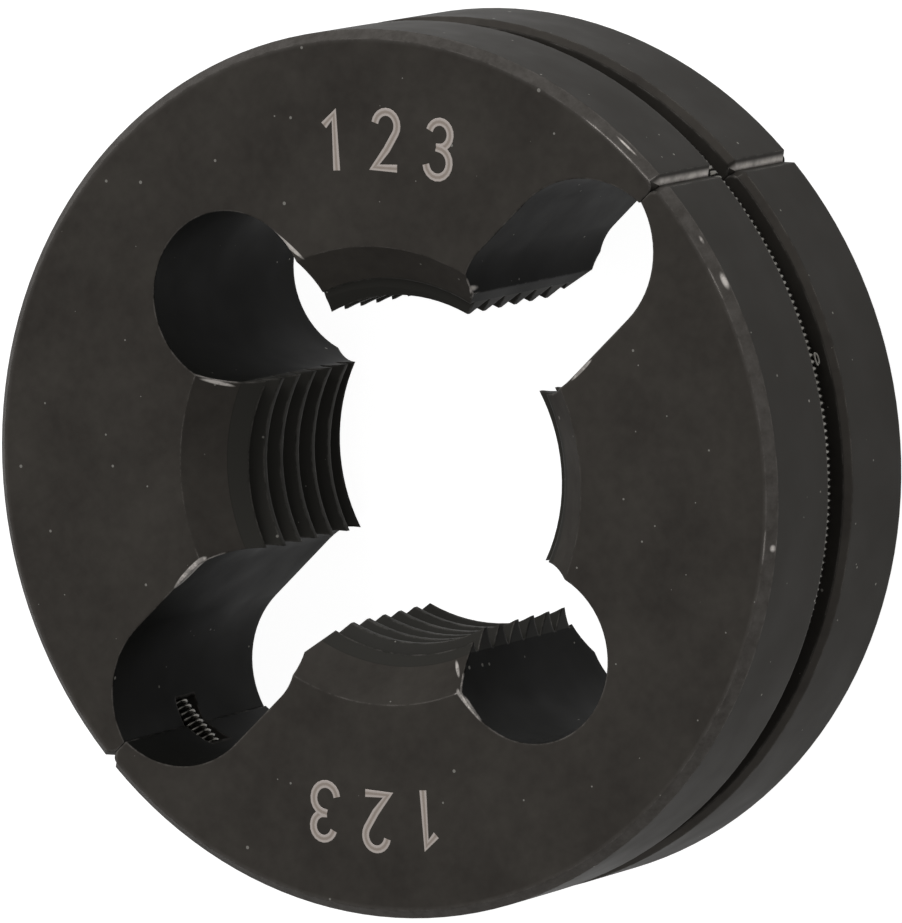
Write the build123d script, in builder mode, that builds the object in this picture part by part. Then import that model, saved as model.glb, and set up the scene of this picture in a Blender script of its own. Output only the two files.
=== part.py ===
"""Two-piece round threading die, held closed by a garter spring.

The die lies flat on its back face. +Z is the thread axis, pointing out of the numbered
lead-in face, where the screw to be cut goes in. The two halves meet on the XZ plane, so
their contact strips are at the two ends of the X axis. All sizes are in millimetres.
"""

from build123d import *

import math
import os

os.makedirs("parts", exist_ok=True)

# Blank, 2 in across and 5/8 in thick
die_diameter = 50.8
die_thickness = 15.875
rim_chamfer = 0.5

# Split between the two halves
split_gap = 0.04
split_edge_chamfer = 0.45

# Thread, 7/8 in with 14 turns to the inch, right-hand
thread_major_diameter = 22.225
thread_pitch = 1.8143
thread_angle = 60
thread_root_share = 1 / 8
thread_crest_share = 3 / 16
first_groove_height = 0.8

# Lead-in cones at the two ends of the bore
lead_in_angle = 45
front_lead_in_diameter = 26.2
back_lead_in_diameter = 25.7

# Chip holes on the Y axis, one inside each half
side_hole_diameter = 10.06
side_hole_rim_wall = 6.67
side_hole_shift = 0.3

# Chip holes on the X axis, cut in two by the split: the heel side of each
heel_radius = 5.6
heel_rim_wall = 1.8
heel_sink = 0.75
heel_corner_radius = 3.1
heel_corner_distance = 13.8
heel_neck = 3.7

# The same two holes: the side with the cutting edge
cutting_radius = 5.4
cutting_rim_wall = 1.6
cutting_sink = 1.2
cutting_corner_radius = 4.5
cutting_corner_distance = 13.3
cutting_neck = 2.3

# Spring groove round the rim
groove_width = 2.2
groove_depth = 2.3
groove_mouth_chamfer = 0.4

# Garter spring, a close-wound coil of 1/16 in outer diameter
spring_coil_diameter = 1.5875
spring_band_count = 8
spring_seat_clearance = 0.05

# Worked out from the sizes above
die_radius = die_diameter / 2
middle = die_thickness / 2
major_radius = thread_major_diameter / 2
half_thread_angle = math.radians(thread_angle / 2)
thread_slope = math.tan(half_thread_angle)
half_root = thread_root_share * thread_pitch / 2
half_opening = (1 - thread_crest_share) * thread_pitch / 2
bore_radius = major_radius - (half_opening - half_root) / thread_slope
front_mouth_radius = front_lead_in_diameter / 2
back_mouth_radius = back_lead_in_diameter / 2
lead_in_slope = math.tan(math.radians(lead_in_angle))
front_lead_in_depth = (front_mouth_radius - bore_radius) / lead_in_slope
back_lead_in_depth = (back_mouth_radius - bore_radius) / lead_in_slope
groove_bottom_radius = die_radius - groove_depth
groove_half_mouth = groove_width / 2 + groove_mouth_chamfer
side_hole_radius = side_hole_diameter / 2
side_hole_distance = die_radius - side_hole_rim_wall - side_hole_radius
heel_distance = die_radius - heel_rim_wall - heel_radius
cutting_distance = die_radius - cutting_rim_wall - cutting_radius
inside_bore = bore_radius * 0.6
tolerance = 1e-4


# A quarter turn of the V between two thread crests. It starts and ends in chip holes, so
# each of the four lands is cut by its own stack of quarter turns, one pitch apart.
with BuildPart() as thread_groove:
    with BuildLine() as thread_path:
        Helix(pitch=thread_pitch, height=thread_pitch / 4, radius=bore_radius)
    with BuildSketch(Plane.XZ):
        overshoot = thread_pitch / 12
        half_mouth = half_opening + overshoot * thread_slope
        with BuildLine():
            Polyline(
                (bore_radius - overshoot, -half_mouth),
                (major_radius, -half_root),
                (major_radius, half_root),
                (bore_radius - overshoot, half_mouth),
                close=True,
            )
        make_face()
    sweep(path=thread_path.line, is_frenet=True)


def hole_outline(x_sign, radius, distance, sink, corner_radius, corner_distance, neck):
    """Half of a split chip hole, above the X axis: an arc whose centre lies under the axis,
    a flat flank, a rounded corner and a straight neck at a given height to the bore."""
    flank = radius - sink
    halfway = math.radians(45)
    corner_centre = flank - corner_radius
    neck_angle = math.asin((neck - corner_centre) / corner_radius)
    mid_angle = (neck_angle + math.radians(90)) / 2

    def on_corner(angle):
        x = corner_distance - corner_radius * math.cos(angle)
        return (x_sign * x, corner_centre + corner_radius * math.sin(angle))

    outer_end = (x_sign * (distance + math.sqrt(radius**2 - sink**2)), 0)
    on_arc_x = distance + radius * math.cos(halfway)
    on_arc = (x_sign * on_arc_x, radius * math.sin(halfway) - sink)
    flank_start = (x_sign * distance, flank)
    flank_end = (x_sign * corner_distance, flank)
    ThreePointArc(outer_end, on_arc, flank_start)
    Line(flank_start, flank_end)
    ThreePointArc(flank_end, on_corner(mid_angle), on_corner(neck_angle))
    Polyline(
        on_corner(neck_angle), (x_sign * inside_bore, neck), (x_sign * inside_bore, 0), outer_end
    )


def die_half(turn):
    """One half of the die. It is drawn on the +Y side, turned by so many degrees about Z."""
    x_direction = Vector(1, 0, 0).rotate(Axis.Z, turn)
    y_direction = Vector(0, 1, 0).rotate(Axis.Z, turn)
    section_plane = Plane(origin=(0, 0, 0), x_dir=x_direction, z_dir=-y_direction)
    face_plane = Plane(origin=(0, 0, 0), x_dir=x_direction, z_dir=(0, 0, 1))

    with BuildPart() as half:
        # Half ring from bore to rim, with both lead-in cones and the spring groove
        with BuildSketch(section_plane):
            with BuildLine():
                Polyline(
                    (bore_radius, back_lead_in_depth),
                    (back_mouth_radius, 0),
                    (die_radius - rim_chamfer, 0),
                    (die_radius, rim_chamfer),
                    (die_radius, middle - groove_half_mouth),
                    (die_radius - groove_mouth_chamfer, middle - groove_width / 2),
                    (groove_bottom_radius, middle - groove_width / 2),
                    (groove_bottom_radius, middle + groove_width / 2),
                    (die_radius - groove_mouth_chamfer, middle + groove_width / 2),
                    (die_radius, middle + groove_half_mouth),
                    (die_radius, die_thickness - rim_chamfer),
                    (die_radius - rim_chamfer, die_thickness),
                    (front_mouth_radius, die_thickness),
                    (bore_radius, die_thickness - front_lead_in_depth),
                    close=True,
                )
            make_face()
        revolve(axis=Axis.Z, revolution_arc=180)

        # Half of the light gap at the split
        Box(2 * die_diameter, split_gap, 4 * die_thickness, mode=Mode.SUBTRACT)

        # Chip hole inside the half: a drilled hole that breaks into the bore
        with BuildSketch(face_plane):
            with Locations((-side_hole_shift, side_hole_distance)):
                Circle(side_hole_radius)
        extrude(amount=die_thickness, mode=Mode.SUBTRACT)

        # This half's share of the two split chip holes
        with BuildSketch(face_plane):
            with BuildLine():
                hole_outline(
                    1,
                    heel_radius,
                    heel_distance,
                    heel_sink,
                    heel_corner_radius,
                    heel_corner_distance,
                    heel_neck,
                )
            make_face()
            with BuildLine():
                hole_outline(
                    -1,
                    cutting_radius,
                    cutting_distance,
                    cutting_sink,
                    cutting_corner_radius,
                    cutting_corner_distance,
                    cutting_neck,
                )
            make_face()
        extrude(amount=die_thickness, mode=Mode.SUBTRACT)

        # Bevel where the contact strips meet the rim, its chamfers and the groove mouth
        strip_edges = [
            edge
            for edge in half.edges()
            if all(abs(abs(v.Y) - split_gap / 2) < tolerance for v in edge.vertices())
            and abs(edge.center().X) > die_radius - rim_chamfer
        ]
        chamfer(strip_edges, length=split_edge_chamfer)

        # Thread, land by land
        first_quarter = round(turn / 90)
        for quarter in (first_quarter, first_quarter + 1):
            lowest = (first_groove_height + quarter / 4 * thread_pitch) % thread_pitch
            for groove in range(int((die_thickness - lowest) / thread_pitch) + 1):
                height = lowest + groove * thread_pitch
                with Locations(Location((0, 0, height), (0, 0, 90 * quarter))):
                    add(thread_groove.part, mode=Mode.SUBTRACT)
    return half


half_a = die_half(0)
half_b = die_half(180)

# Garter spring: the outer shape of its coil, a ring of flat bands on the groove's floor
coil_radius = spring_coil_diameter / 2
spring_ring_radius = groove_bottom_radius + spring_seat_clearance + coil_radius
with BuildPart() as garter_spring:
    with BuildSketch(Plane.XZ):
        with Locations((spring_ring_radius, middle)):
            RegularPolygon(
                coil_radius,
                spring_band_count,
                major_radius=False,
                rotation=180 / spring_band_count,
            )
    revolve(axis=Axis.Z)

half_a.part.label = "die_half_a"
half_b.part.label = "die_half_b"
garter_spring.part.label = "garter_spring"
export_step(half_a.part, "parts/die_half_a.step")
export_step(half_b.part, "parts/die_half_b.step")
export_step(garter_spring.part, "parts/garter_spring.step")
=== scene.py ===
"""Dresses a two-piece round threading die: black-oxide steel halves, a wound garter spring
let into the rim, numbers engraved on each half, and a plain lit stage.

Everything is in metres, in the frame of the CAD part: the die lies on its back face, the
thread axis is +Z, and the halves meet on the XZ plane.
"""

import math
from types import SimpleNamespace

import bpy
import numpy as np
from bpy.props import FloatProperty, FloatVectorProperty, IntProperty
from bpy.props import PointerProperty, StringProperty
from mathutils import Matrix, Vector


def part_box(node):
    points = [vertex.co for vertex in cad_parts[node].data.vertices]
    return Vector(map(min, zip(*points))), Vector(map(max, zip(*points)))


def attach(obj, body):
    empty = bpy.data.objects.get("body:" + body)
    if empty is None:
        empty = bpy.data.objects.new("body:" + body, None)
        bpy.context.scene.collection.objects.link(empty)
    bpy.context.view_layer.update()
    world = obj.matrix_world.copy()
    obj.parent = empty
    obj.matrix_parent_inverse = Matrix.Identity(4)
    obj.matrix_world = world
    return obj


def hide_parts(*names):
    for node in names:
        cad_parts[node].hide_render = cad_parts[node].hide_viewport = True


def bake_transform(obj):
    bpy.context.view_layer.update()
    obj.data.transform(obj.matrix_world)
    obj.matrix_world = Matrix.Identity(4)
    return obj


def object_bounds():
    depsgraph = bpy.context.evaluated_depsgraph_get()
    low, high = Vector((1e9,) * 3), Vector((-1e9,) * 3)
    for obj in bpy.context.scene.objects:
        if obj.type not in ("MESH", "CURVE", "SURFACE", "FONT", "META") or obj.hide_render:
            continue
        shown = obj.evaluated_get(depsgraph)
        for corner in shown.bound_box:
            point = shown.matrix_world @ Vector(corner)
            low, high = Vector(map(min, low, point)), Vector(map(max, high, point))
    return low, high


bl_info = {
    "name": "Round Threading Die",
    "version": (1, 0, 0),
    "blender": (4, 5, 0),
    "location": "3D View > Sidebar > Threading Die",
    "description": "Finishes the steel halves and adds the garter spring, the numbers and a stage",
    "category": "Add Mesh",
}

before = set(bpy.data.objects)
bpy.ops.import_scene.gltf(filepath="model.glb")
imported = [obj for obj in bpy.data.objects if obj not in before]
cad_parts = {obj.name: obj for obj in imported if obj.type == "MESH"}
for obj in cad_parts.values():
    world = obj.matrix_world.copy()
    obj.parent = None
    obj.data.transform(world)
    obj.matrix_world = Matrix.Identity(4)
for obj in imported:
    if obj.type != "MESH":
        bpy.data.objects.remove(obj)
cad_low, cad_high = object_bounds()
spring_low, spring_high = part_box("garter_spring")

MM = 0.001
DIE_RADIUS = cad_high[0]
DIE_THICKNESS = cad_high[2]
SPRING_HEIGHT = (spring_low[2] + spring_high[2]) / 2
SPRING_RING_RADIUS = spring_high[0] - (spring_high[2] - spring_low[2]) / 2


# ---------------------------------------------------------------------------------------
# Colours, meshes and nodes
# ---------------------------------------------------------------------------------------


def linear(hex_colour):
    """An sRGB hex colour as linear red, green, blue and alpha."""
    colour = []
    for start in (1, 3, 5):
        share = int(hex_colour[start : start + 2], 16) / 255
        colour.append(share / 12.92 if share <= 0.04045 else ((share + 0.055) / 1.055) ** 2.4)
    return (*colour, 1.0)


def colour_property(name, hex_colour, description):
    """A colour setting with its default given as sRGB hex."""
    return FloatVectorProperty(
        name=name,
        description=description,
        subtype="COLOR",
        size=4,
        min=0.0,
        max=1.0,
        default=linear(hex_colour),
    )


def grid_faces(rows, columns, rows_close, columns_close):
    """Quads between the points of a grid, numbered row by row. A direction that closes is
    joined from its last line back to its first."""
    row = np.arange(rows if rows_close else rows - 1)[:, None]
    column = np.arange(columns if columns_close else columns - 1)[None, :]
    next_row, next_column = (row + 1) % rows, (column + 1) % columns
    corners = (
        row * columns + column,
        row * columns + next_column,
        next_row * columns + next_column,
        next_row * columns + column,
    )
    return np.stack(np.broadcast_arrays(*corners), axis=-1).reshape(-1, 4)


def new_mesh_object(name, points, faces, uv=None, smooth=True):
    """A mesh object at the origin. uv holds one pair of numbers for each point."""
    mesh = bpy.data.meshes.new(name)
    mesh.from_pydata(points.tolist(), [], [list(face) for face in faces])
    if uv is not None:
        corners = np.empty(len(mesh.loops), dtype=np.int32)
        mesh.loops.foreach_get("vertex_index", corners)
        layer = mesh.uv_layers.new(name="UVMap")
        layer.data.foreach_set("uv", uv[corners].astype(np.float32).ravel())
    mesh.polygons.foreach_set("use_smooth", np.full(len(mesh.polygons), smooth))
    mesh.update()
    made = bpy.data.objects.new(name, mesh)
    bpy.context.scene.collection.objects.link(made)
    return made


def turned(points, degrees):
    """Points in the plane or in space, turned anticlockwise about the origin or about Z."""
    angle = math.radians(degrees)
    rotation = np.array([[math.cos(angle), math.sin(angle)], [-math.sin(angle), math.cos(angle)]])
    return np.concatenate([points[:, :2] @ rotation, points[:, 2:]], axis=1)


# The numbers of a Mix node's inputs, for plain numbers and for colours, and of its mixed colour
NUMBER_A, NUMBER_B, COLOUR_A, COLOUR_B = 2, 3, 6, 7
MIXED_COLOUR = 2


def add_node(tree, kind, settings=None, inputs=None):
    """Adds a node, sets its properties, and gives each named or numbered input either a
    plain value or the output socket that feeds it."""
    node = tree.nodes.new(kind)
    for name, value in (settings or {}).items():
        setattr(node, name, value)
    for name, value in (inputs or {}).items():
        if isinstance(value, bpy.types.NodeSocket):
            tree.links.new(value, node.inputs[name])
        else:
            node.inputs[name].default_value = value
    return node


def new_material(name):
    """An empty node material with its output node."""
    material = bpy.data.materials.new(name)
    material.use_nodes = True
    material.node_tree.nodes.clear()
    output = add_node(material.node_tree, "ShaderNodeOutputMaterial")
    return material, material.node_tree, output


# ---------------------------------------------------------------------------------------
# Black-oxide steel
# ---------------------------------------------------------------------------------------


# Noise in the steel's skin: the size of a patch, the detail and the roughness
STEEL_NOISE = {
    # Thicker and thinner oxide
    "clouds": (5 * MM, 3.0, 0.6),
    "grain": (0.7 * MM, 2.0, 0.6),
    # Patches of wear on the chamfers and the ground facets, and along the edges
    "scuffing": (0.9 * MM, 5.0, 0.75),
    "rubbing": (1.2 * MM, 4.0, 0.7),
    # Marks of the grinding wheel, really finer than 0.05 mm and drawn coarse enough to show
    "grit": (0.15 * MM, 2.0, 0.5),
}

# The thread lies inside this radius, and the lead-in cones outside it
THREAD_RADIUS = 11.1 * MM
# The spring groove, measured to just past its walls and floor, and how much painted shade it
# gets, between the face, 0, and the chip holes' painted shade, 1
GROOVE_HALF_WIDTH = 1.15 * MM
GROOVE_DEPTH = 2.4 * MM
GROOVE_SHADE = 0.45

# Spots on the steel. Each has its centre, as X, Y and the depth below the lead-in face, and its
# half sizes, all in millimetres, its turn about Z in degrees, and the outer share that fades.
# First, facets ground bright behind the cutting edges, and nicks in the rim.
GROUND_SPOTS = (
    ((-13.3, 4.2, 0.0), (1.6, 0.26, 0.6), 0.0, 0.2),
    ((4.74, 13.5, 0.0), (0.15, 1.6, 0.3), 10.0, 0.3),
    ((14.2, -4.3, 0.0), (1.0, 0.12, 0.3), 0.0, 0.4),
    ((-4.72, -12.9, 0.0), (0.16, 1.6, 0.4), 0.0, 0.5),
    ((-4.5, -10.8, 1.3), (0.14, 0.8, 0.9), 0.0, 0.6),
    ((-4.8, 11.1, 1.0), (0.14, 1.2, 1.2), 26.0, 0.5),
    ((11.9, 3.97, 0.9), (0.9, 0.14, 1.0), 8.0, 0.6),
    ((24.46, -6.6, 0.25), (0.22, 0.75, 0.3), -15.0, 0.5),
    ((24.95, -4.0, 0.2), (0.12, 0.4, 0.25), -9.0, 0.6),
    ((25.05, 2.9, 0.2), (0.07, 1.1, 0.25), 6.6, 0.5),
    ((16.25, -19.4, 0.25), (0.2, 0.3, 0.3), -50.0, 0.6),
)
# Then, stretches of edge that have been knocked and rubbed more than the rest
KNOCKED_SPOTS = (
    ((-4.75, 11.1, 0.9), (0.7, 1.5, 1.5), 26.0, 0.3),
    ((11.8, 3.95, 0.8), (1.6, 0.5, 1.4), 0.0, 0.3),
    ((-11.9, 3.85, 0.6), (0.8, 0.5, 0.9), 0.0, 0.3),
    ((-4.6, -12.2, 0.7), (0.5, 2.4, 1.6), 0.0, 0.3),
    ((24.9, 2.9, 0.0), (0.7, 3.4, 0.6), 7.0, 0.3),
    ((24.3, -6.5, 0.0), (0.6, 1.3, 0.6), -15.0, 0.3),
    ((16.2, -19.3, 0.0), (0.6, 1.3, 0.6), -50.0, 0.3),
)


def spot_mask(tree, place, centre, half_sizes, turn, fading):
    """1 inside an ellipsoid, fading to 0 over its outer share. The point is divided by the half
    sizes, and its length is compared with 1."""
    x, y, depth = centre
    local = add_node(
        tree,
        "ShaderNodeMapping",
        {"vector_type": "TEXTURE"},
        {
            "Vector": place,
            "Location": (x * MM, y * MM, DIE_THICKNESS - depth * MM),
            "Rotation": (0.0, 0.0, math.radians(turn)),
            "Scale": [half_size * MM for half_size in half_sizes],
        },
    )
    length = add_node(tree, "ShaderNodeVectorMath", {"operation": "LENGTH"}, {0: local.outputs[0]})
    fade = add_node(
        tree,
        "ShaderNodeMapRange",
        {"interpolation_type": "SMOOTHSTEP"},
        {
            "Value": length.outputs["Value"],
            "From Min": 1.0 - fading,
            "From Max": 1.0,
            "To Min": 1.0,
            "To Max": 0.0,
        },
    )
    return fade.outputs["Result"]


def joined_spots(tree, place, spots):
    """The largest of several spot masks at each point."""
    joined = spot_mask(tree, place, *spots[0])
    for spot in spots[1:]:
        larger = add_node(
            tree,
            "ShaderNodeMath",
            {"operation": "MAXIMUM"},
            {0: joined, 1: spot_mask(tree, place, *spot)},
        )
        joined = larger.outputs[0]
    return joined


def measured_point(tree):
    """What the masks ask of the shaded point: its place, x and y, its distances from the thread
    axis and from the middle of the thickness, and its flatness, from 0 on a wall to 1 on a face."""
    coordinates = add_node(tree, "ShaderNodeTexCoord")
    place = coordinates.outputs["Object"]
    facing = add_node(tree, "ShaderNodeSeparateXYZ", None, {0: coordinates.outputs["Normal"]})
    axes = add_node(tree, "ShaderNodeSeparateXYZ", None, {0: place})
    x, y, z = axes.outputs
    plan = add_node(tree, "ShaderNodeCombineXYZ", None, {"X": x, "Y": y})
    radius = add_node(tree, "ShaderNodeVectorMath", {"operation": "LENGTH"}, {0: plan.outputs[0]})
    flatness = add_node(
        tree, "ShaderNodeMath", {"operation": "ABSOLUTE"}, {0: facing.outputs["Z"]}
    )
    height = add_node(tree, "ShaderNodeMath", {"operation": "SUBTRACT"}, {0: z, 1: SPRING_HEIGHT})
    from_middle = add_node(
        tree, "ShaderNodeMath", {"operation": "ABSOLUTE"}, {0: height.outputs[0]}
    )
    return SimpleNamespace(
        place=place,
        x=x,
        y=y,
        radius=radius.outputs["Value"],
        from_middle=from_middle.outputs[0],
        flatness=flatness.outputs[0],
    )


def region_masks(tree, point):
    """Masks of the surfaces with a tone of their own: the hollow surfaces, painted dark as shade,
    which are the thread, the chip holes' walls and, less dark, the spring groove; the thread; the
    rim."""
    # Walls stand upright. Those inside the die are the chip holes', those outside the rim's.
    is_wall = add_node(
        tree,
        "ShaderNodeMapRange",
        None,
        {"Value": point.flatness, "From Min": 0.6, "From Max": 0.45},
    )
    is_inside = add_node(
        tree,
        "ShaderNodeMapRange",
        None,
        {
            "Value": point.radius,
            "From Min": DIE_RADIUS - 0.6 * MM,
            "From Max": DIE_RADIUS - 0.9 * MM,
        },
    )
    shaded_hole_wall = add_node(
        tree,
        "ShaderNodeMath",
        {"operation": "MULTIPLY"},
        {0: is_wall.outputs[0], 1: is_inside.outputs[0]},
    )
    rim_wall = add_node(
        tree,
        "ShaderNodeMath",
        {"operation": "SUBTRACT", "use_clamp": True},
        {0: is_wall.outputs[0], 1: is_inside.outputs[0]},
    )
    thread = add_node(
        tree,
        "ShaderNodeMapRange",
        None,
        {
            "Value": point.radius,
            "From Min": THREAD_RADIUS + 0.06 * MM,
            "From Max": THREAD_RADIUS,
        },
    )

    # The groove ends below its mouth bevels, and outside the chip holes
    at_groove_height = add_node(
        tree,
        "ShaderNodeMath",
        {"operation": "LESS_THAN"},
        {0: point.from_middle, 1: GROOVE_HALF_WIDTH},
    )
    past_holes = add_node(
        tree,
        "ShaderNodeMath",
        {"operation": "GREATER_THAN"},
        {0: point.radius, 1: DIE_RADIUS - GROOVE_DEPTH},
    )
    in_groove = add_node(
        tree,
        "ShaderNodeMath",
        {"operation": "MULTIPLY"},
        {0: at_groove_height.outputs[0], 1: past_holes.outputs[0]},
    )
    deep = add_node(
        tree,
        "ShaderNodeMath",
        {"operation": "MAXIMUM"},
        {0: shaded_hole_wall.outputs[0], 1: thread.outputs[0]},
    )
    # Painted shade in the chip holes and the thread, lighter in the spring groove
    shaded_hollows = add_node(
        tree,
        "ShaderNodeMix",
        None,
        {
            "Factor": in_groove.outputs[0],
            NUMBER_A: deep.outputs[0],
            NUMBER_B: GROOVE_SHADE,
        },
    )
    return shaded_hollows.outputs[0], thread.outputs[0], rim_wall.outputs[0]


def scuffed_chamfers(tree, point, scuffing):
    """The rim's chamfers, 0.5 mm wide and rubbed thin, more in some places than in others."""
    near_face = add_node(
        tree,
        "ShaderNodeMapRange",
        None,
        {
            "Value": point.from_middle,
            "From Min": DIE_THICKNESS / 2 - 0.6 * MM,
            "From Max": DIE_THICKNESS / 2 - 0.45 * MM,
        },
    )
    near_rim = add_node(
        tree,
        "ShaderNodeMapRange",
        None,
        {
            "Value": point.radius,
            "From Min": DIE_RADIUS - 0.75 * MM,
            "From Max": DIE_RADIUS - 0.45 * MM,
        },
    )
    chamfer = add_node(
        tree,
        "ShaderNodeMath",
        {"operation": "MULTIPLY"},
        {0: near_face.outputs[0], 1: near_rim.outputs[0]},
    )
    patches = add_node(
        tree,
        "ShaderNodeMapRange",
        None,
        {"Value": scuffing, "From Min": 0.35, "From Max": 0.75, "To Min": 0.25},
    )
    scuffed = add_node(
        tree,
        "ShaderNodeMath",
        {"operation": "MULTIPLY"},
        {0: chamfer.outputs[0], 1: patches.outputs[0]},
    )
    return scuffed.outputs[0]


def ground_facets(tree, point, scuffing):
    """Small facets of bright ground steel at the lead-in face, and nicks in the rim, all a
    little smeared with oil."""
    smeared = add_node(
        tree,
        "ShaderNodeMapRange",
        None,
        {"Value": scuffing, "From Min": 0.42, "From Max": 0.54, "To Min": 0.4},
    )
    ground = add_node(
        tree,
        "ShaderNodeMath",
        {"operation": "MULTIPLY"},
        {0: joined_spots(tree, point.place, GROUND_SPOTS), 1: smeared.outputs[0]},
    )
    return ground.outputs[0]


def worn_edges(tree, point, rounded, rubbing):
    """Edges rubbed bright in patches. An edge is where a small rounding would turn the surface:
    there the rounded normal leaves the true one."""
    true_normal = add_node(tree, "ShaderNodeNewGeometry").outputs["True Normal"]
    sameness = add_node(
        tree, "ShaderNodeVectorMath", {"operation": "DOT_PRODUCT"}, {0: rounded, 1: true_normal}
    )
    edge = add_node(
        tree,
        "ShaderNodeMapRange",
        None,
        {"Value": sameness.outputs["Value"], "From Min": 0.98, "From Max": 0.86},
    )
    rubbed = add_node(
        tree, "ShaderNodeMapRange", None, {"Value": rubbing, "From Min": 0.42, "From Max": 0.62}
    )
    # Little of the oxide is gone from most edges, and much where they have been knocked
    little = add_node(
        tree, "ShaderNodeMath", {"operation": "MULTIPLY"}, {0: rubbed.outputs[0], 1: 0.15}
    )
    much = add_node(
        tree,
        "ShaderNodeMath",
        {"operation": "MULTIPLY_ADD"},
        {0: rubbed.outputs[0], 1: 0.6, 2: 0.4},
    )
    rub = add_node(
        tree,
        "ShaderNodeMix",
        None,
        {
            "Factor": joined_spots(tree, point.place, KNOCKED_SPOTS),
            NUMBER_A: little.outputs[0],
            NUMBER_B: much.outputs[0],
        },
    )
    worn = add_node(
        tree, "ShaderNodeMath", {"operation": "MULTIPLY"}, {0: edge.outputs[0], 1: rub.outputs[0]}
    )
    return worn.outputs[0]


def split_bevel_highlight(tree, point, rubbing):
    """Painted highlight on half A's bevel at the +X end of the split, along its inner side, in
    patches.
    """
    beside_split = add_node(
        tree,
        "ShaderNodeMapRange",
        {"interpolation_type": "SMOOTHSTEP"},
        {"Value": point.y, "From Min": 0.38 * MM, "From Max": 0.12 * MM},
    )
    on_half_a = add_node(
        tree, "ShaderNodeMath", {"operation": "GREATER_THAN"}, {0: point.y, 1: 0.0}
    )
    at_rim = add_node(
        tree,
        "ShaderNodeMath",
        {"operation": "GREATER_THAN"},
        {0: point.x, 1: DIE_RADIUS - 0.5 * MM},
    )
    patches = add_node(
        tree,
        "ShaderNodeMapRange",
        None,
        {"Value": rubbing, "From Min": 0.3, "From Max": 0.6, "To Min": 0.3, "To Max": 0.65},
    )
    worn = beside_split.outputs[0]
    for mask in (on_half_a, at_rim, patches):
        worn = add_node(
            tree, "ShaderNodeMath", {"operation": "MULTIPLY"}, {0: worn, 1: mask.outputs[0]}
        ).outputs[0]
    return worn


def dust_specks(tree, place):
    """Specks up to 0.24 mm across: points strewn 0.8 mm apart, few of them in the surface."""
    cells = add_node(tree, "ShaderNodeTexVoronoi", None, {"Vector": place, "Scale": 1 / (0.8 * MM)})
    speck_size = add_node(
        tree,
        "ShaderNodeMapRange",
        None,
        {"Value": cells.outputs["Color"], "From Min": 0.62, "From Max": 1.0, "To Max": 0.15},
    )
    speck = add_node(
        tree,
        "ShaderNodeMath",
        {"operation": "LESS_THAN"},
        {0: cells.outputs["Distance"], 1: speck_size.outputs[0]},
    )
    return speck.outputs[0]


def black_oxide_steel(settings):
    """Hardened tool steel, ground, then blackened in a hot salt bath and oiled: a thin, nearly
    matt, warm black skin, with painted shade inside the chip holes and the spring groove. The
    skin is rubbed through to bright steel on edges and on the ground facets behind the cutting
    edges, and half A's split bevel has a painted highlight."""
    material, tree, output = new_material("Black oxide tool steel")
    point = measured_point(tree)
    noise = {
        name: add_node(
            tree,
            "ShaderNodeTexNoise",
            None,
            {"Vector": point.place, "Scale": 1 / size, "Detail": detail, "Roughness": roughness},
        ).outputs["Fac"]
        for name, (size, detail, roughness) in STEEL_NOISE.items()
    }

    tone = add_node(
        tree,
        "ShaderNodeMath",
        {"operation": "MULTIPLY_ADD"},
        {0: noise["grain"], 1: 0.5, 2: noise["clouds"]},
    )
    thin_oxide = add_node(
        tree,
        "ShaderNodeMapRange",
        None,
        {"Value": tone.outputs[0], "From Min": 0.45, "From Max": 1.05},
    )
    shaded_hollows, thread, rim_wall = region_masks(tree, point)
    rounded = add_node(tree, "ShaderNodeBevel", {"samples": 6}, {"Radius": 0.2 * MM}).outputs[0]
    # Bare steel on worn edges and ground facets, with the painted highlight on half A's split bevel
    bare = worn_edges(tree, point, rounded, noise["rubbing"])
    for wear in (
        split_bevel_highlight(tree, point, noise["rubbing"]),
        ground_facets(tree, point, noise["scuffing"]),
    ):
        bare = add_node(
            tree, "ShaderNodeMath", {"operation": "MAXIMUM"}, {0: bare, 1: wear}
        ).outputs[0]

    # Each tone covers the ones before it where its mask is 1
    colour = settings.oxide_dark
    for mask, covering in (
        (thin_oxide.outputs["Result"], settings.oxide_light),
        # Painted shade on the chip holes' walls and in the spring groove
        (shaded_hollows, settings.shaded_hole_wall),
        (thread, settings.thread),
        (rim_wall, settings.rim_wall),
        (scuffed_chamfers(tree, point, noise["scuffing"]), settings.scuffed),
        (dust_specks(tree, point.place), settings.dust),
        # Bare steel, and the painted highlight on half A's split bevel
        (bare, settings.bare_steel_and_highlight),
    ):
        colour = add_node(
            tree,
            "ShaderNodeMix",
            {"data_type": "RGBA"},
            {"Factor": mask, COLOUR_A: colour, COLOUR_B: covering},
        ).outputs[MIXED_COLOUR]

    roughness = add_node(
        tree,
        "ShaderNodeMapRange",
        None,
        {"Value": noise["clouds"], "From Min": 0.3, "From Max": 0.7, "To Min": 0.62, "To Max": 0.5},
    )
    relief = add_node(
        tree,
        "ShaderNodeBump",
        None,
        {
            "Height": noise["grit"],
            "Strength": 0.25,
            "Distance": 0.004 * MM,
            "Normal": rounded,
        },
    )
    shader = add_node(
        tree,
        "ShaderNodeBsdfPrincipled",
        None,
        {
            "Base Color": colour,
            "Metallic": bare,
            "Roughness": roughness.outputs[0],
            "Specular IOR Level": settings.shine,
            "Normal": relief.outputs[0],
        },
    )
    tree.links.new(shader.outputs[0], output.inputs["Surface"])
    return material


# ---------------------------------------------------------------------------------------
# Garter spring
# ---------------------------------------------------------------------------------------


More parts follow.
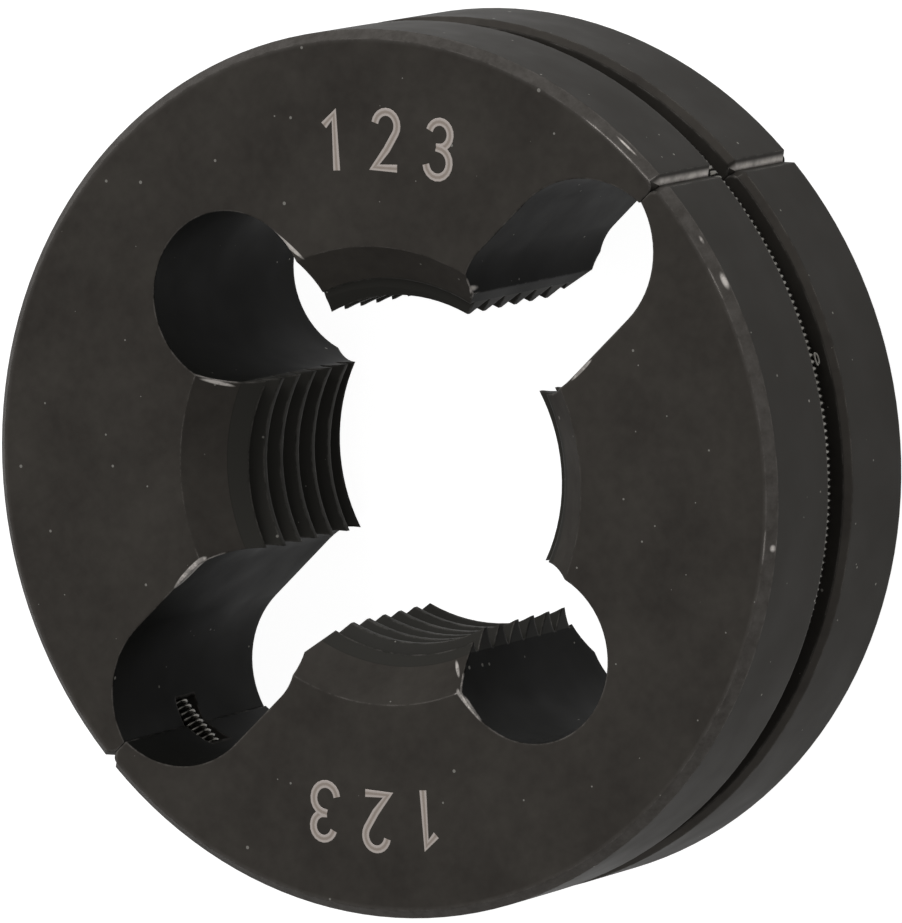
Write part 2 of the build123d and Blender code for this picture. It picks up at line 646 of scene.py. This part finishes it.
def round_wire(line, first, second, diameter, sides, along):
    """A round wire along a closed line. The first parameter is the place on the line, and the
    second is an angle round the wire. A point of its surface is the line's point, plus the
    wire's radius times the angle's cosine in the first of two directions square to the line,
    plus the same with the sine in the second. `along` is the U of each point on the line."""
    angle = 2 * np.pi * np.arange(sides)[None, :, None] / sides
    points = (
        line[:, None, :]
        + diameter / 2 * np.cos(angle) * first[:, None, :]
        + diameter / 2 * np.sin(angle) * second[:, None, :]
    )
    uv = np.stack(np.broadcast_arrays(along, np.arange(sides)[None, :] / sides), axis=-1)
    return points.reshape(-1, 3), grid_faces(len(line), sides, True, True), uv.reshape(-1, 2)


def coiled_ring(ring_radius, height, coil_diameter, wire_diameter, turns, steps, sides):
    """A wire wound round a ring. The wire's centre goes round a circle of the coil's mean
    radius a whole number of times while that circle goes once round the ring. The two
    directions square to the wire are the one away from the coil's centre, and the one across
    it."""
    coil_radius = (coil_diameter - wire_diameter) / 2
    share = np.arange(turns * steps)[:, None] / (turns * steps)
    round_ring = 2 * np.pi * share
    round_coil = round_ring * turns

    outward = np.concatenate([np.cos(round_ring), np.sin(round_ring), 0 * share], axis=1)
    along = np.concatenate([-np.sin(round_ring), np.cos(round_ring), 0 * share], axis=1)
    upward = np.array([[0.0, 0.0, 1.0]])
    from_coil = np.cos(round_coil) * outward + np.sin(round_coil) * upward
    round_about = -np.sin(round_coil) * outward + np.cos(round_coil) * upward
    centre = ring_radius * outward + coil_radius * from_coil + height * upward

    speed_along = ring_radius + coil_radius * np.cos(round_coil)
    speed = np.concatenate([speed_along, coil_radius * turns + 0 * share], axis=1)
    speed /= np.linalg.norm(speed, axis=1, keepdims=True)
    tangent = speed[:, :1] * along + speed[:, 1:] * round_about
    sideways = np.cross(tangent, from_coil)
    return round_wire(centre, from_coil, sideways, wire_diameter, sides, share * turns)


def wire_eye(angle, distance, height, half_length, half_width, wire_diameter, steps, sides):
    """The bent end of the wire where the spring is joined. The wire's centre line is an
    ellipse whose long axis runs along the ring and whose short axis runs up. The two directions
    square to the wire are the one in the ellipse's plane, and the one square to that plane."""
    outward = np.array([math.cos(angle), math.sin(angle), 0.0])
    along = np.array([-math.sin(angle), math.cos(angle), 0.0])
    upward = np.array([0.0, 0.0, 1.0])
    share = np.arange(steps)[:, None] / steps
    round_eye = 2 * np.pi * share

    ellipse = half_length * np.cos(round_eye) * along + half_width * np.sin(round_eye) * upward
    tangent = half_width * np.cos(round_eye) * upward - half_length * np.sin(round_eye) * along
    tangent /= np.linalg.norm(tangent, axis=1, keepdims=True)
    away = np.cross(tangent, outward)
    sideways = np.cross(tangent, away)
    centre = distance * outward + height * upward + ellipse
    return round_wire(centre, away, sideways, wire_diameter, sides, share)


def drawn_spring_wire(settings):
    """Hard-drawn carbon spring wire with an oil film: smooth, quite bright metal that shows
    one small glint on each turn, darker and browner in patches where oil and dirt have
    settled."""
    material, tree, output = new_material("Drawn carbon spring wire")
    place = add_node(tree, "ShaderNodeTexCoord").outputs["Object"]
    # Oil stains about 2 mm long
    stains = add_node(
        tree, "ShaderNodeTexNoise", None, {"Vector": place, "Scale": 1 / (2 * MM), "Detail": 2.0}
    )
    colour = add_node(
        tree,
        "ShaderNodeMix",
        {"data_type": "RGBA"},
        {
            "Factor": stains.outputs["Fac"],
            COLOUR_A: settings.wire_dark,
            COLOUR_B: settings.wire_light,
        },
    )
    roughness = add_node(
        tree,
        "ShaderNodeMapRange",
        None,
        {"Value": stains.outputs["Fac"], "To Min": 0.32, "To Max": 0.22},
    )
    shader = add_node(
        tree,
        "ShaderNodeBsdfPrincipled",
        None,
        {
            "Base Color": colour.outputs[MIXED_COLOUR],
            "Metallic": 1.0,
            "Roughness": roughness.outputs[0],
        },
    )
    tree.links.new(shader.outputs[0], output.inputs["Surface"])
    return material


# ---------------------------------------------------------------------------------------
# Engraved numbers
# ---------------------------------------------------------------------------------------


POINTS_ON_ARC = 14
# A bar across a stroke's corner is widened by this much at most, and its flat top is this
# share of its foot
MOST_WIDENING = 1.7
TOP_SHARE = 0.92
# Engraved strokes are shown as bars this thick on the face
STROKE_THICKNESS = 0.012 * MM


def arc(centre, radii, start, end):
    """Points on an ellipse from one angle to another, in degrees: the centre plus the radii
    times the cosine and the sine."""
    angle = np.radians(np.linspace(start, end, POINTS_ON_ARC))
    return np.array(centre) + np.array(radii) * np.stack([np.cos(angle), np.sin(angle)], axis=1)


def run(*corners):
    """Points to be joined by straight lines."""
    return np.array(corners, dtype=float)


# Pantograph figures one unit high, as the centre lines of their strokes
FIGURES = {
    "1": [run((-0.16, 0.77), (0.03, 0.94), (0.03, 0.06))],
    "2": [
        np.vstack(
            [
                arc((0.0, 0.72), (0.2, 0.22), 170, -30),
                run((0.02, 0.35), (-0.2, 0.06), (0.21, 0.06)),
            ]
        )
    ],
    "3": [
        np.vstack([arc((0.0, 0.735), (0.19, 0.205), 165, -75), run((-0.05, 0.53))]),
        np.vstack([run((-0.05, 0.53)), arc((-0.01, 0.29), (0.21, 0.23), 75, -170)]),
    ],
}


def stroke_ribbon(line, width, thickness):
    """A flat bar carried along a line in the plane. At each point the bar lies across the
    mean direction of the two runs that meet there, widened at a corner so that its sides
    stay straight, and the ends are closed with flat caps."""
    step = np.diff(line, axis=0)
    step /= np.linalg.norm(step, axis=1, keepdims=True)
    before, after = np.vstack([step[:1], step]), np.vstack([step, step[-1:]])
    direction = before + after
    direction /= np.linalg.norm(direction, axis=1, keepdims=True)
    turn_cosine = (direction * before).sum(axis=1)
    widening = 1 / np.maximum(turn_cosine, 1 / MOST_WIDENING)
    across = np.stack([-direction[:, 1], direction[:, 0]], axis=1) * (widening * width / 2)[:, None]

    # Profile across the bar: up one side, over the top, down the other, back underneath
    place_across = np.array([-1.0, -TOP_SHARE, 0.0, TOP_SHARE, 1.0, 0.0])
    place_up = np.array([0.0, 1.0, 1.0, 1.0, 0.0, 0.0]) * thickness
    flat = line[:, None, :] + place_across[None, :, None] * across[:, None, :]
    height = np.broadcast_to(place_up, flat.shape[:2])[..., None]
    points = np.concatenate([flat, height], axis=-1)
    rows, columns = points.shape[:2]
    faces = grid_faces(rows, columns, False, True)[:, ::-1].tolist()
    faces.append(list(range(columns)))
    faces.append([(rows - 1) * columns + i for i in reversed(range(columns))])
    length = np.concatenate([[0.0], np.cumsum(np.linalg.norm(np.diff(line, axis=0), axis=1))])
    uv = np.stack(np.broadcast_arrays(length[:, None], (place_across[None, :] + 1) / 2), axis=-1)
    return points.reshape(-1, 3), faces, uv.reshape(-1, 2)


def number_mesh(text, spots, height, stroke_width):
    """The strokes of a number as one set of points, faces and UVs. A spot is the centre and
    the lean of one figure. Where two strokes of a figure meet, the second stands a quarter
    higher, so that their tops don't share a plane."""
    all_points, all_faces, all_uv = [], [], []
    count = 0
    for figure, (x, y, lean) in zip(text, spots):
        for order, line in enumerate(FIGURES[figure]):
            placed = turned((line - (0.0, 0.5)) * height, lean) + (x, y)
            thickness = STROKE_THICKNESS * (1 + order / 4)
            points, faces, uv = stroke_ribbon(placed, stroke_width, thickness)
            all_faces += [[corner + count for corner in face] for face in faces]
            all_points.append(points)
            all_uv.append(uv)
            count += len(points)
    return np.vstack(all_points), all_faces, np.vstack(all_uv)


def engraved_bare_steel(settings):
    """Bare steel at the bottom of a cut made by a rotating engraving point: pale, matt, a
    little brighter along both sides of the cut than down its middle."""
    material, tree, output = new_material("Engraved bare steel")
    coordinates = add_node(tree, "ShaderNodeTexCoord")
    split_uv = add_node(tree, "ShaderNodeSeparateXYZ", None, {0: coordinates.outputs["UV"]})
    across = split_uv.outputs["Y"]
    to_one_side = add_node(tree, "ShaderNodeMath", {"operation": "SUBTRACT"}, {0: across, 1: 0.5})
    from_middle = add_node(
        tree, "ShaderNodeMath", {"operation": "ABSOLUTE"}, {0: to_one_side.outputs[0]}
    )
    side = add_node(
        tree,
        "ShaderNodeMapRange",
        {"interpolation_type": "SMOOTHSTEP"},
        {"Value": from_middle.outputs[0], "From Min": 0.08, "From Max": 0.28},
    )
    # Chatter of the engraving point, about 0.2 mm apart
    chatter = add_node(
        tree,
        "ShaderNodeTexNoise",
        None,
        {"Vector": coordinates.outputs["Object"], "Scale": 1 / (0.2 * MM), "Detail": 2.0},
    )
    unevenness = add_node(
        tree,
        "ShaderNodeMath",
        {"operation": "MULTIPLY_ADD"},
        {0: chatter.outputs["Fac"], 1: 0.5, 2: -0.25},
    )
    amount = add_node(
        tree,
        "ShaderNodeMath",
        {"operation": "ADD", "use_clamp": True},
        {0: unevenness.outputs[0], 1: side.outputs[0]},
    )
    colour = add_node(
        tree,
        "ShaderNodeMix",
        {"data_type": "RGBA"},
        {
            "Factor": amount.outputs[0],
            COLOUR_A: settings.cut_floor,
            COLOUR_B: settings.cut_side,
        },
    )
    shader = add_node(
        tree,
        "ShaderNodeBsdfPrincipled",
        None,
        {"Base Color": colour.outputs[MIXED_COLOUR], "Metallic": 0.35, "Roughness": 0.6},
    )
    tree.links.new(shader.outputs[0], output.inputs["Surface"])
    return material


# ---------------------------------------------------------------------------------------
# Stage
# ---------------------------------------------------------------------------------------


def lit_sheet(settings):
    """Opal acrylic sheet lit from below, as on a light table: white, even and matt."""
    material, tree, output = new_material("Opal acrylic sheet")
    shader = add_node(
        tree,
        "ShaderNodeBsdfPrincipled",
        None,
        {
            "Base Color": settings.floor_colour,
            "Roughness": 0.6,
            "Emission Color": settings.glow_colour,
            "Emission Strength": settings.floor_glow,
        },
    )
    tree.links.new(shader.outputs[0], output.inputs["Surface"])
    return material


# ---------------------------------------------------------------------------------------
# Settings
# ---------------------------------------------------------------------------------------


class DieSteelSettings(bpy.types.PropertyGroup):
    """Tones and shine of the steel halves"""

    oxide_dark: colour_property("Thick oxide", "#302d2a", "Black oxide where it is thickest")
    oxide_light: colour_property("Thin oxide", "#3d3a36", "Black oxide where it is thinnest")
    # Painted shade: the dark tone given to the chip holes' walls and the spring groove
    shaded_hole_wall: colour_property("Hole wall", "#0f0f0d", "Chip holes' walls, and the spring groove")
    thread: colour_property("Thread", "#302f2c", "Thread, polished a little by use")
    rim_wall: colour_property("Rim wall", "#2b2926", "Rim above and below the spring groove")
    scuffed: colour_property("Scuffed oxide", "#504d4a", "Oxide rubbed thin on the rim's chamfers")
    # Also gives the painted highlight on half A's split bevel
    bare_steel_and_highlight: colour_property("Bare steel", "#d2ccc6", "Ground or worn steel with no oxide")
    dust: colour_property("Dust", "#75736e", "Specks of dust and fine chips")
    shine: FloatProperty(
        name="Shine",
        description="Strength of the reflection, nearly taken away by old oil and fine dirt",
        default=0.045,
        min=0.0,
        max=1.0,
        subtype="FACTOR",
    )


class GarterSpringSettings(bpy.types.PropertyGroup):
    """Sizes and tones of the spring"""

    coil_diameter: FloatProperty(
        name="Coil diameter",
        description="Outside diameter of the wound coil",
        default=1.5875 * MM,
        unit="LENGTH",
    )
    wire_diameter: FloatProperty(
        name="Wire diameter",
        description="Diameter of the spring wire",
        default=0.36 * MM,
        unit="LENGTH",
    )
    end_diameter: FloatProperty(
        name="End diameter",
        description="Diameter of the wire's ground-down end, bent over at the joint",
        default=0.18 * MM,
        unit="LENGTH",
    )
    joint_angle: FloatProperty(
        name="Joint angle",
        description="Where on the ring the two ends of the spring are joined",
        default=math.radians(-27.4),
        subtype="ANGLE",
        unit="ROTATION",
    )
    turn_spacing: FloatProperty(
        name="Turn spacing",
        description="Distance from one turn to the next along the ring",
        default=0.385 * MM,
        unit="LENGTH",
    )
    steps_per_turn: IntProperty(
        name="Steps",
        description="Mesh steps along one turn",
        default=12,
        min=8,
    )
    sides: IntProperty(
        name="Sides",
        description="Mesh sides round the wire",
        default=5,
        min=4,
    )
    loose_length: FloatProperty(
        name="Loose length",
        description="Length at each end of the split where the spring stretches as the halves part",
        default=12 * MM,
        unit="LENGTH",
    )
    wire_light: colour_property("Clean wire", "#807e79", "Spring wire rubbed clean")
    wire_dark: colour_property("Oiled wire", "#4e4b46", "Spring wire under oil")


class NumberSettings(bpy.types.PropertyGroup):
    """The engraved number, its size and its tones"""

    text: StringProperty(
        name="Number",
        description="Plain number engraved on both halves",
        default="123",
    )
    height: FloatProperty(
        name="Height",
        description="Height of a figure",
        default=3.62 * MM,
        unit="LENGTH",
    )
    stroke_width: FloatProperty(
        name="Stroke width",
        description="Width of the engraved cut",
        default=0.45 * MM,
        unit="LENGTH",
    )
    cut_side: colour_property("Cut sides", "#b3aaa4", "Engraved steel along the sides of the cut")
    cut_floor: colour_property("Cut floor", "#93887f", "Engraved steel down the middle of the cut")


class StageSettings(bpy.types.PropertyGroup):
    """Tone and light of the floor, and the lights"""

    floor_colour: colour_property("Floor", "#9a9a9a", "Opal sheet under the die")
    glow_colour: colour_property("Glow", "#ffffff", "Light that comes up through the sheet")
    floor_glow: FloatProperty(
        name="Floor glow",
        description="Light given off by the lit sheet",
        default=0.95,
        min=0.0,
    )
    room_light: FloatProperty(
        name="Room light",
        description="Strength of the light all round",
        default=0.5,
        min=0.0,
    )
    key_power: FloatProperty(
        name="Key light",
        description="Power of the large soft box",
        default=6.5,
        unit="POWER",
    )


# ---------------------------------------------------------------------------------------
# Operators
# ---------------------------------------------------------------------------------------


class DIE_OT_finish_halves(bpy.types.Operator):
    """Gives both halves of the die their black-oxide steel"""

    bl_idname = "die.finish_halves"
    bl_label = "Finish Die Halves"

    def execute(self, context):
        material = black_oxide_steel(context.scene.die_steel)
        for name in ("die_half_a", "die_half_b"):
            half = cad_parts.get(name)
            if half is None:
                raise RuntimeError(f"the frame has no node {name}")
            for slot in half.material_slots:
                slot.material = material
            if not half.material_slots:
                half.data.materials.append(material)
        return {"FINISHED"}


class DIE_OT_wind_garter_spring(bpy.types.Operator):
    """Winds the garter spring that holds the halves together"""

    bl_idname = "die.wind_garter_spring"
    bl_label = "Wind Garter Spring"

    # The wire's bent end stands on the outer lower side of the coil
    EYE_OUT = 0.7 * MM
    EYE_DOWN = 0.52 * MM

    def execute(self, context):
        settings = context.scene.die_spring
        coil_points, coil_faces, coil_uv = coiled_ring(
            ring_radius=SPRING_RING_RADIUS,
            height=SPRING_HEIGHT,
            coil_diameter=settings.coil_diameter,
            wire_diameter=settings.wire_diameter,
            turns=round(2 * math.pi * SPRING_RING_RADIUS / settings.turn_spacing),
            steps=settings.steps_per_turn,
            sides=settings.sides,
        )
        eye_points, eye_faces, eye_uv = wire_eye(
            angle=settings.joint_angle,
            distance=SPRING_RING_RADIUS + self.EYE_OUT,
            height=SPRING_HEIGHT - self.EYE_DOWN,
            half_length=0.34 * MM,
            half_width=0.2 * MM,
            wire_diameter=settings.end_diameter,
            steps=24,
            sides=8,
        )
        points = np.concatenate([coil_points, eye_points])
        faces = np.concatenate([coil_faces, eye_faces + len(coil_points)])
        uv = np.concatenate([coil_uv, eye_uv])
        spring = new_mesh_object("garter_spring_coil", points, faces, uv)
        spring.data.materials.append(drawn_spring_wire(settings))
        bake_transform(spring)
        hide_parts("garter_spring")
        return {"FINISHED"}


class DIE_OT_engrave_numbers(bpy.types.Operator):
    """Engraves the matching number on the lead-in face of each half"""

    bl_idname = "die.engrave_numbers"
    bl_label = "Engrave Numbers"

    # Centre and lean of each figure, in millimetres and degrees, on a line square to the
    # radius that halves the space between two chip holes. Given one by one, so they differ.
    HALF_A = ((-3.1, 18.85, 4.0), (0.3, 19.2, 0.0), (3.75, 18.85, -3.0))
    HALF_B = ((-3.3, 19.35, 5.0), (-0.05, 19.85, 0.0), (3.4, 19.55, -2.0))

    def execute(self, context):
        settings = context.scene.die_number
        if set(settings.text) - set(FIGURES):
            raise RuntimeError("the number may hold only the figures 1, 2 and 3")
        material = engraved_bare_steel(settings)
        for name, body, spots, outward in (
            ("number_half_a", "half_a", self.HALF_A, 45.0),
            ("number_half_b", "half_b", self.HALF_B, 225.0),
        ):
            places = [(x * MM, y * MM, lean) for x, y, lean in spots]
            points, faces, uv = number_mesh(
                settings.text, places, settings.height, settings.stroke_width
            )
            points = turned(points, outward - 90) + (0, 0, DIE_THICKNESS)
            number = new_mesh_object(name, points, faces, uv, smooth=False)
            number.data.materials.append(material)
            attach(number, body)
        return {"FINISHED"}


class DIE_OT_set_stage(bpy.types.Operator):
    """Lays the lit floor and sets the lights and the camera"""

    bl_idname = "die.set_stage"
    bl_label = "Set Stage"

    # The camera looks down at the lead-in face. Rows are its right, up and back directions.
    CAMERA_PLACE = (0.30264, -0.17202, 0.60060)
    CAMERA_AXES = (
        (0.62081, -0.60912, -0.49350),
        (0.64869, 0.75262, -0.11290),
        (0.44018, -0.25004, 0.86239),
    )
    FOCAL_LENGTH_MM = 468.04
    KEY_PLACE = (0.35, 0.70, 0.65)
    KEY_SIZE = 0.7
    FLOOR_HALF_SIZE = 6.0
    # The floor lies a hair under the die, so that it doesn't share a plane with the back face
    FLOOR_DEPTH = 0.00002

    def execute(self, context):
        settings = context.scene.die_stage
        size = self.FLOOR_HALF_SIZE
        corners = np.array([[-size, -size, 0], [-size, size, 0], [size, -size, 0], [size, size, 0]])
        floor = new_mesh_object("floor", corners - (0, 0, self.FLOOR_DEPTH), [[0, 2, 3, 1]])
        floor.data.materials.append(lit_sheet(settings))

        world = bpy.data.worlds.new("Light tent")
        world.use_nodes = True
        background = world.node_tree.nodes["Background"]
        background.inputs["Color"].default_value = linear("#ffffff")
        background.inputs["Strength"].default_value = settings.room_light
        context.scene.world = world

        # A square soft box that faces the die
        light = bpy.data.lights.new("key", "AREA")
        light.shape = "SQUARE"
        light.size = self.KEY_SIZE
        light.energy = settings.key_power
        soft_box = bpy.data.objects.new("key", light)
        soft_box.location = self.KEY_PLACE
        soft_box.rotation_euler = Vector(self.KEY_PLACE).to_track_quat("Z", "Y").to_euler()
        context.scene.collection.objects.link(soft_box)

        camera_data = bpy.data.cameras.new("camera")
        camera_data.sensor_width = 36.0
        camera_data.sensor_fit = "AUTO"
        camera_data.lens = self.FOCAL_LENGTH_MM
        camera_data.clip_start, camera_data.clip_end = 0.01, 50.0
        camera = bpy.data.objects.new("camera", camera_data)
        axes = Matrix(self.CAMERA_AXES).transposed().to_4x4()
        camera.matrix_world = Matrix.Translation(self.CAMERA_PLACE) @ axes
        context.scene.collection.objects.link(camera)
        context.scene.camera = camera
        context.scene.view_settings.view_transform = "Standard"
        return {"FINISHED"}


class DIE_PT_panel(bpy.types.Panel):
    """Lists each group of settings with the operator that uses it"""

    bl_label = "Threading Die"
    bl_idname = "DIE_PT_panel"
    bl_space_type = "VIEW_3D"
    bl_region_type = "UI"
    bl_category = "Threading Die"

    def draw(self, context):
        scene = context.scene
        sections = (
            (scene.die_steel, DIE_OT_finish_halves),
            (scene.die_spring, DIE_OT_wind_garter_spring),
            (scene.die_number, DIE_OT_engrave_numbers),
            (scene.die_stage, DIE_OT_set_stage),
        )
        for settings, operator in sections:
            column = self.layout.column(align=True)
            for name in settings.__annotations__:
                column.prop(settings, name)
            column.operator(operator.bl_idname)


CLASSES = (
    DieSteelSettings,
    GarterSpringSettings,
    NumberSettings,
    StageSettings,
    DIE_OT_finish_halves,
    DIE_OT_wind_garter_spring,
    DIE_OT_engrave_numbers,
    DIE_OT_set_stage,
    DIE_PT_panel,
)
SETTINGS = {
    "die_steel": DieSteelSettings,
    "die_spring": GarterSpringSettings,
    "die_number": NumberSettings,
    "die_stage": StageSettings,
}


def register():
    """Adds the classes, and a group of settings of each kind to every scene."""
    for each in CLASSES:
        bpy.utils.register_class(each)
    for name, group in SETTINGS.items():
        setattr(bpy.types.Scene, name, PointerProperty(type=group))


def unregister():
    """Takes away what register adds."""
    for name in SETTINGS:
        delattr(bpy.types.Scene, name)
    for each in reversed(CLASSES):
        bpy.utils.unregister_class(each)


def main():
    """Dresses the die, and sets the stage."""
    register()
    bpy.ops.die.finish_halves()
    bpy.ops.die.wind_garter_spring()
    bpy.ops.die.engrave_numbers()
    bpy.ops.die.set_stage()


if __name__ == "__main__":
    main()
